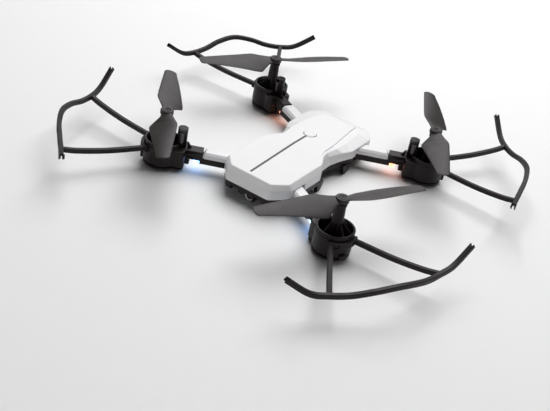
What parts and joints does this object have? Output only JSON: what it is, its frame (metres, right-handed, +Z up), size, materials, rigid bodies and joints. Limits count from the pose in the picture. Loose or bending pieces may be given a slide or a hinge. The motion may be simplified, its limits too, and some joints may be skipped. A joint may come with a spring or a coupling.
{
  "type": "palm drone",
  "caption": "Folding mini quadcopter: flat white shell, black swing arms with geared pods and tall prop towers, paddle blades and open screwed-on blade guards.",
  "frame": {"origin": "on the floor under the middle of the craft's outer box, which is under the middle of the body", "axes": "+Z up, -Y towards the nose and camera, +X towards the craft's left side"},
  "size_m": [0.3, 0.302, 0.0428],
  "materials": {
    "shell_white": "polished white shell",
    "black_plastic": "moulded satin black",
    "guard_black": "moulded satin black",
    "prop_grey": "moulded dark grey",
    "button_grey": "polished",
    "board_green": "solder mask",
    "camera_black": "polished black",
    "lens_glass": "coated glass",
    "battery_black": "moulded case",
    "motor_can": "drawn can",
    "gear_nylon": "natural nylon",
    "pinion_brass": "machined",
    "shaft_steel": "ground",
    "bush_bronze": "sintered",
    "screw_steel": "black oxide",
    "lamp_blue": "translucent",
    "lamp_red": "translucent"
  },
  "bodies": {
    "root": {"top_shell": "shell_white", "bottom_shell": "black_plastic", "body_screws": "screw_steel", "circuit_board": "board_green", "camera_housing": "camera_black", "camera_lens": "lens_glass"},
    "button": {"power_button": "button_grey"},
    "battery": {"battery_pack": "battery_black"},
    "arm_front_left": {"arm_front_left": "black_plastic", "arm_cover_front_left": "shell_white", "gear_cover_front_left": "black_plastic", "motor_front_left": "motor_can", "guard_front_left": "guard_black", "lamp_lens_front_left": "lamp_blue", "shaft_bushes_front_left": "bush_bronze", "arm_screws_front_left": "screw_steel"},
    "rotor_front_left": {"propeller_front_left": "prop_grey", "prop_shaft_front_left": "shaft_steel", "main_gear_front_left": "gear_nylon", "prop_screw_front_left": "screw_steel"},
    "pinion_front_left": {"pinion_front_left": "pinion_brass"},
    "arm_front_right": {"arm_front_right": "black_plastic", "arm_cover_front_right": "shell_white", "gear_cover_front_right": "black_plastic", "motor_front_right": "motor_can", "guard_front_right": "guard_black", "lamp_lens_front_right": "lamp_blue", "shaft_bushes_front_right": "bush_bronze", "arm_screws_front_right": "screw_steel"},
    "rotor_front_right": {"propeller_front_right": "prop_grey", "prop_shaft_front_right": "shaft_steel", "main_gear_front_right": "gear_nylon", "prop_screw_front_right": "screw_steel"},
    "pinion_front_right": {"pinion_front_right": "pinion_brass"},
    "arm_rear_left": {"arm_rear_left": "black_plastic", "arm_cover_rear_left": "shell_white", "gear_cover_rear_left": "black_plastic", "motor_rear_left": "motor_can", "guard_rear_left": "guard_black", "lamp_lens_rear_left": "lamp_red", "shaft_bushes_rear_left": "bush_bronze", "arm_screws_rear_left": "screw_steel"},
    "rotor_rear_left": {"propeller_rear_left": "prop_grey", "prop_shaft_rear_left": "shaft_steel", "main_gear_rear_left": "gear_nylon", "prop_screw_rear_left": "screw_steel"},
    "pinion_rear_left": {"pinion_rear_left": "pinion_brass"},
    "arm_rear_right": {"arm_rear_right": "black_plastic", "arm_cover_rear_right": "shell_white", "gear_cover_rear_right": "black_plastic", "motor_rear_right": "motor_can", "guard_rear_right": "guard_black", "lamp_lens_rear_right": "lamp_red", "shaft_bushes_rear_right": "bush_bronze", "arm_screws_rear_right": "screw_steel"},
    "rotor_rear_right": {"propeller_rear_right": "prop_grey", "prop_shaft_rear_right": "shaft_steel", "main_gear_rear_right": "gear_nylon", "prop_screw_rear_right": "screw_steel"},
    "pinion_rear_right": {"pinion_rear_right": "pinion_brass"}
  },
  "joints": [
    {"name": "button_press", "type": "slide", "parent": "root", "child": "button", "axis": [0, 0, -1], "range_m": [0, 0.0008], "stiffness_N_per_m": 250, "springref_m": -0.0002},
    {"name": "battery_slide", "type": "slide", "parent": "root", "child": "battery", "axis": [0, 1, 0], "range_m": [0, 0.066]},
    {"name": "fold_front_left", "type": "hinge", "parent": "root", "child": "arm_front_left", "pos_m": [0.02, -0.0392, 0.012], "axis": [0, 0, 1], "range_deg": [0, 24]},
    {"name": "spin_front_left", "type": "hinge", "parent": "arm_front_left", "child": "rotor_front_left", "pos_m": [0.0705, -0.0665, 0.03], "axis": [0, 0, 1], "continuous": true},
    {"name": "pinion_front_left", "type": "hinge", "parent": "arm_front_left", "child": "pinion_front_left", "pos_m": [0.05937, -0.06048, 0.006], "axis": [0, 0, 1], "continuous": true},
    {"name": "fold_front_right", "type": "hinge", "parent": "root", "child": "arm_front_right", "pos_m": [-0.02, -0.0392, 0.012], "axis": [0, 0, 1], "range_deg": [-24, 0]},
    {"name": "spin_front_right", "type": "hinge", "parent": "arm_front_right", "child": "rotor_front_right", "pos_m": [-0.0705, -0.0665, 0.03], "axis": [0, 0, 1], "continuous": true},
    {"name": "pinion_front_right", "type": "hinge", "parent": "arm_front_right", "child": "pinion_front_right", "pos_m": [-0.05937, -0.06048, 0.006], "axis": [0, 0, 1], "continuous": true},
    {"name": "fold_rear_left", "type": "hinge", "parent": "root", "child": "arm_rear_left", "pos_m": [0.02, 0.0392, 0.012], "axis": [0, 0, 1], "range_deg": [-24, 0]},
    {"name": "spin_rear_left", "type": "hinge", "parent": "arm_rear_left", "child": "rotor_rear_left", "pos_m": [0.0705, 0.0665, 0.03], "axis": [0, 0, 1], "continuous": true},
    {"name": "pinion_rear_left", "type": "hinge", "parent": "arm_rear_left", "child": "pinion_rear_left", "pos_m": [0.05937, 0.06048, 0.006], "axis": [0, 0, 1], "continuous": true},
    {"name": "fold_rear_right", "type": "hinge", "parent": "root", "child": "arm_rear_right", "pos_m": [-0.02, 0.0392, 0.012], "axis": [0, 0, 1], "range_deg": [0, 24]},
    {"name": "spin_rear_right", "type": "hinge", "parent": "arm_rear_right", "child": "rotor_rear_right", "pos_m": [-0.0705, 0.0665, 0.03], "axis": [0, 0, 1], "continuous": true},
    {"name": "pinion_rear_right", "type": "hinge", "parent": "arm_rear_right", "child": "pinion_rear_right", "pos_m": [-0.05937, 0.06048, 0.006], "axis": [0, 0, 1], "continuous": true}
  ],
  "couplings": [
    {"joint": "pinion_front_left", "follows": "spin_front_left", "ratio": -6},
    {"joint": "pinion_front_right", "follows": "spin_front_right", "ratio": -6},
    {"joint": "pinion_rear_left", "follows": "spin_rear_left", "ratio": -6},
    {"joint": "pinion_rear_right", "follows": "spin_rear_right", "ratio": -6}
  ]
}
